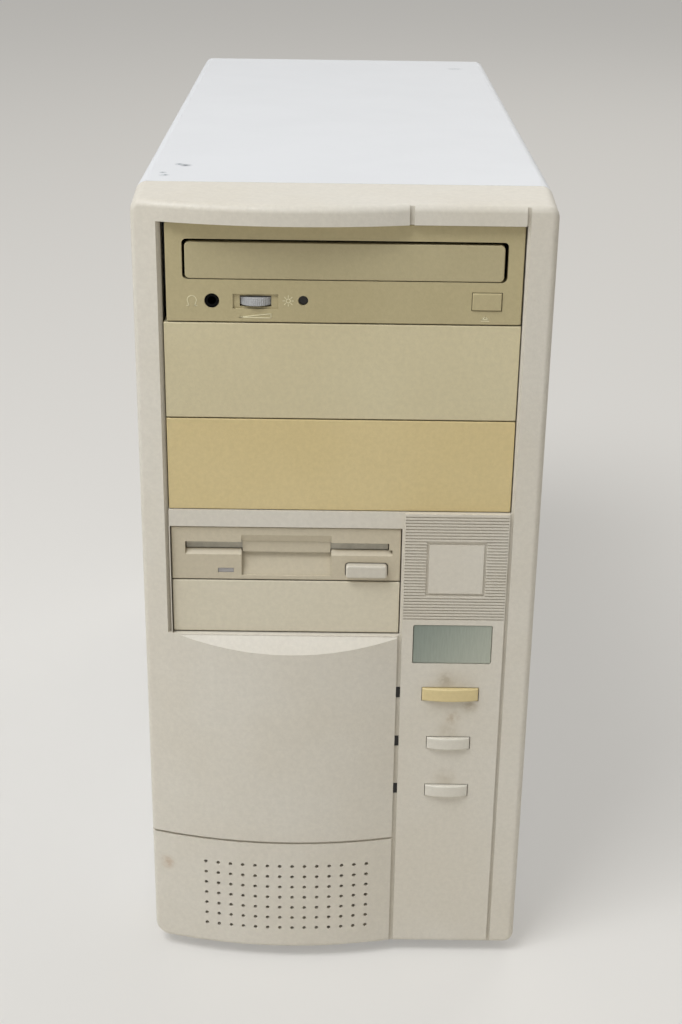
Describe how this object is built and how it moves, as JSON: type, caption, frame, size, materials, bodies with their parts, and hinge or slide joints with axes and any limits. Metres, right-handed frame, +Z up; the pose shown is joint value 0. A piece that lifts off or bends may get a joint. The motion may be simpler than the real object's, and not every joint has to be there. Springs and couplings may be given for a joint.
{
  "type": "tower computer",
  "caption": "Beige mini tower computer with a steel cover, moulded front, disc and diskette drives, blank bay covers, push buttons and a grille, complete inside.",
  "frame": {"origin": "centre of the floor plan, on the floor under the feet", "axes": "+Z up, front towards -Y, +X to the right seen from the front"},
  "size_m": [0.178, 0.4298, 0.371],
  "materials": {
    "bezel_plastic": "fine grained moulding",
    "cover_paint": "fine textured enamel",
    "zinc_steel": "zinc plated sheet",
    "bright_steel": "nickel plated",
    "drive_plastic": "fine grained moulding, yellowed",
    "tray_plastic": "fine grained moulding, yellowed",
    "cover_upper_plastic": "fine grained moulding, yellowed",
    "cover_lower_plastic": "fine grained moulding, much yellowed",
    "cover_small_plastic": "fine grained moulding",
    "floppy_plastic": "fine grained moulding, yellowed",
    "flap_plastic": "fine grained moulding, brownish",
    "power_plastic": "satin, yellowed",
    "button_plastic": "satin",
    "label_plastic": "satin grey",
    "lamp_plastic": "translucent",
    "wheel_plastic": "knurled",
    "black_plastic": "satin black",
    "grey_plastic": "satin dark grey",
    "white_plastic": "satin",
    "red_plastic": "glossy red",
    "rubber": "matt",
    "board_green": "lacquered board",
    "chip_black": "moulded ceramic and resin",
    "aluminium": "extruded",
    "cable_grey": "soft insulation",
    "wire_mixed": "soft insulation"
  },
  "bodies": {
    "chassis": {"base_pan": "zinc_steel", "bay_cover_lower": "cover_lower_plastic", "bay_cover_small": "cover_small_plastic", "bay_cover_upper": "cover_upper_plastic", "board_sockets": "black_plastic", "case_screws": "bright_steel", "cdrom_bezel": "drive_plastic", "cdrom_case": "zinc_steel", "cdrom_front_board": "board_green", "cdrom_lamp": "lamp_plastic", "cdrom_loader": "black_plastic", "cpu_fan_frame": "black_plastic", "drive_cage_small": "zinc_steel", "drive_cage_wide": "zinc_steel", "drive_ribbon": "cable_grey", "feet": "rubber", "floppy_bezel": "floppy_plastic", "floppy_case": "zinc_steel", "floppy_lamp": "lamp_plastic", "floppy_ribbon": "cable_grey", "front_bezel": "bezel_plastic", "front_frame": "zinc_steel", "hard_disk": "aluminium", "headphone_jack": "black_plastic", "heat_sink": "aluminium", "indicator_lamps": "lamp_plastic", "keyboard_socket": "black_plastic", "label_plate": "label_plastic", "mains_inlet": "black_plastic", "memory_modules": "board_green", "monitor_outlet": "black_plastic", "motherboard": "board_green", "motherboard_tray": "zinc_steel", "parallel_port": "zinc_steel", "power_harness": "wire_mixed", "power_switch": "grey_plastic", "processor": "chip_black", "processor_socket": "white_plastic", "psu_case": "zinc_steel", "psu_fan_frame": "black_plastic", "psu_fan_guard": "bright_steel", "rear_panel": "zinc_steel", "slot_covers": "zinc_steel", "speaker": "grey_plastic", "standoffs": "white_plastic", "switch_board": "board_green", "top_cover": "cover_paint", "video_card": "board_green"},
    "cd_tray": {"cdrom_tray": "black_plastic", "cdrom_tray_front": "tray_plastic"},
    "cd_eject": {"cdrom_eject_button": "drive_plastic"},
    "volume": {"volume_wheel": "wheel_plastic"},
    "flap": {"floppy_flap": "flap_plastic"},
    "floppy_eject": {"floppy_eject_button": "floppy_plastic"},
    "power": {"power_button": "power_plastic"},
    "turbo": {"turbo_button": "button_plastic"},
    "reset": {"reset_button": "button_plastic"},
    "psu_fan": {"psu_fan_rotor": "black_plastic"},
    "cpu_fan": {"cpu_fan_rotor": "black_plastic"},
    "voltage": {"voltage_slider": "red_plastic"}
  },
  "joints": [
    {"name": "cd_tray_slide", "type": "slide", "parent": "chassis", "child": "cd_tray", "axis": [0, -1, 0], "range_m": [0, 0.13]},
    {"name": "cd_eject_press", "type": "slide", "parent": "chassis", "child": "cd_eject", "axis": [0, 1, 0], "range_m": [0, 0.0012], "stiffness_N_per_m": 400},
    {"name": "volume_turn", "type": "hinge", "parent": "chassis", "child": "volume", "pos_m": [-0.03645, -0.19995, 0.32865], "axis": [0, 0, 1], "range_deg": [-135, 135]},
    {"name": "flap_swing", "type": "hinge", "parent": "chassis", "child": "flap", "pos_m": [-0.0237, -0.20315, 0.2201], "axis": [1, 0, 0], "range_deg": [0, 88], "stiffness_Nm_per_rad": 0.002},
    {"name": "floppy_eject_press", "type": "slide", "parent": "chassis", "child": "floppy_eject", "axis": [0, 1, 0], "range_m": [0, 0.0025], "stiffness_N_per_m": 400},
    {"name": "power_press", "type": "slide", "parent": "chassis", "child": "power", "axis": [0, 1, 0], "range_m": [0, 0.0025], "stiffness_N_per_m": 400},
    {"name": "turbo_press", "type": "slide", "parent": "chassis", "child": "turbo", "axis": [0, 1, 0], "range_m": [0, 0.0025], "stiffness_N_per_m": 400},
    {"name": "reset_press", "type": "slide", "parent": "chassis", "child": "reset", "axis": [0, 1, 0], "range_m": [0, 0.0025], "stiffness_N_per_m": 400},
    {"name": "psu_fan_spin", "type": "hinge", "parent": "chassis", "child": "psu_fan", "pos_m": [0.03, 0.19635, 0.3207], "axis": [0, 1, 0], "continuous": true},
    {"name": "cpu_fan_spin", "type": "hinge", "parent": "chassis", "child": "cpu_fan", "pos_m": [0.0486, -0.00055, 0.078], "axis": [1, 0, 0], "continuous": true},
    {"name": "voltage_switch", "type": "slide", "parent": "chassis", "child": "voltage", "axis": [0, 0, -1], "range_m": [0, 0.0068]}
  ]
}
